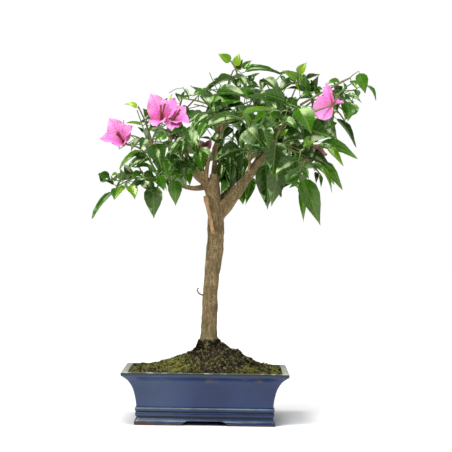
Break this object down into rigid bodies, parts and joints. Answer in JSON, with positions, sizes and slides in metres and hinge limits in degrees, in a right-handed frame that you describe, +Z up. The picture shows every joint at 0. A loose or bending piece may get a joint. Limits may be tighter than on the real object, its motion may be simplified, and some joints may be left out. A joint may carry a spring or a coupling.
{
  "type": "bougainvillea bonsai",
  "caption": "Flowering bougainvillea bonsai: a bare straight trunk, forked boughs and tufts of leaves with magenta bracts, on a mossy mound in a blue glazed rectangular pot.",
  "frame": {"origin": "middle of the whole plant's box in plan, at the level that the pot's feet stand on", "axes": "+Z up, +X to the right and +Y to the back, seen from the side that the picture shows"},
  "size_m": [0.3824, 0.2556, 0.4933],
  "materials": {
    "glaze": "gloss",
    "soil": "matte",
    "bark": "matte",
    "cut_wood": "matte",
    "leaf": "satin",
    "bract": "satin"
  },
  "bodies": {
    "root": {"pot": "glaze", "soil": "soil", "trunk": "bark", "cut_stub": "cut_wood", "dead_spur": "bark", "bough_right": "bark", "bough_left": "bark", "bough_left_rising": "bark", "bough_upper_left": "bark", "bough_upright": "bark", "bough_far_right": "bark", "bough_low_right": "bark", "bough_front_right": "bark", "bough_front_left": "bark", "bough_front_top": "bark", "bough_back_left": "bark", "bough_back_right": "bark", "bough_back_top": "bark", "bough_heart": "bark", "flowering_shoot_left": "bract", "flowering_shoot_upper_left": "bract", "flowering_shoot_right": "bract", "flowering_shoot_low_right": "bract", "flowering_shoot_inner": "bract", "foliage_left_low": "leaf", "foliage_left": "leaf", "foliage_upper_left": "leaf", "foliage_top": "leaf", "foliage_top_right": "leaf", "foliage_right": "leaf", "foliage_right_low": "leaf", "foliage_front_right": "leaf", "foliage_front_left": "leaf", "foliage_front_top": "leaf", "foliage_heart": "leaf", "foliage_back_left": "leaf", "foliage_back_right": "leaf", "foliage_back_top": "leaf"}
  },
  "joints": []
}
